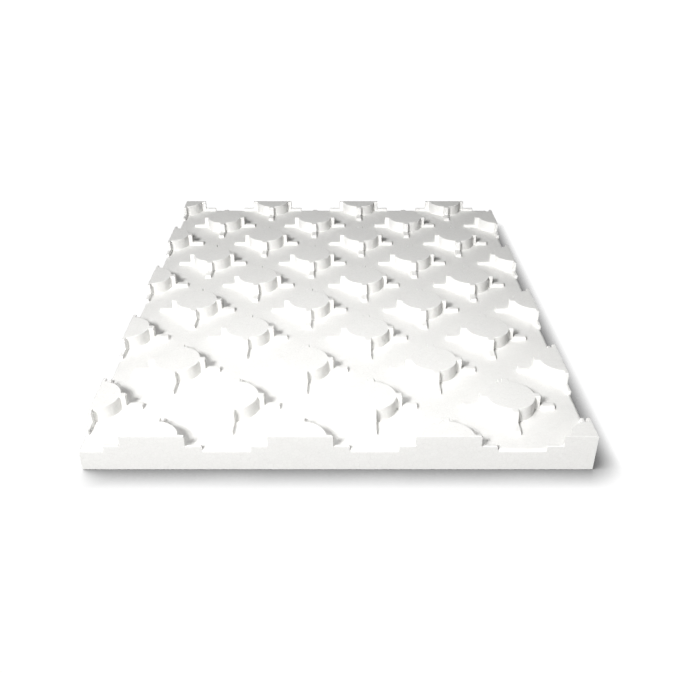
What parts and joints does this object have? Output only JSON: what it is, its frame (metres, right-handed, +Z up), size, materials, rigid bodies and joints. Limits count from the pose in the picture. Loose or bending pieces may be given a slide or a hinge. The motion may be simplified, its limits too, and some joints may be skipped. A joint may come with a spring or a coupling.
{
  "type": "underfloor heating system board",
  "caption": "Flat moulded foam board with staggered round knobs on its top. Cross arms and low ribs on each knob carry heating pipe in the straight channels between them.",
  "frame": {"origin": "centre of the flat underside", "axes": "+X across the board along its rows of knobs, +Y along the board's longer side away from the pictured front edge, +Z up out of the knobs"},
  "size_m": [0.525, 0.675, 0.042],
  "materials": {
    "foam": "matte, smooth moulded expanded polystyrene"
  },
  "bodies": {
    "root": {"board": "foam"}
  },
  "joints": []
}
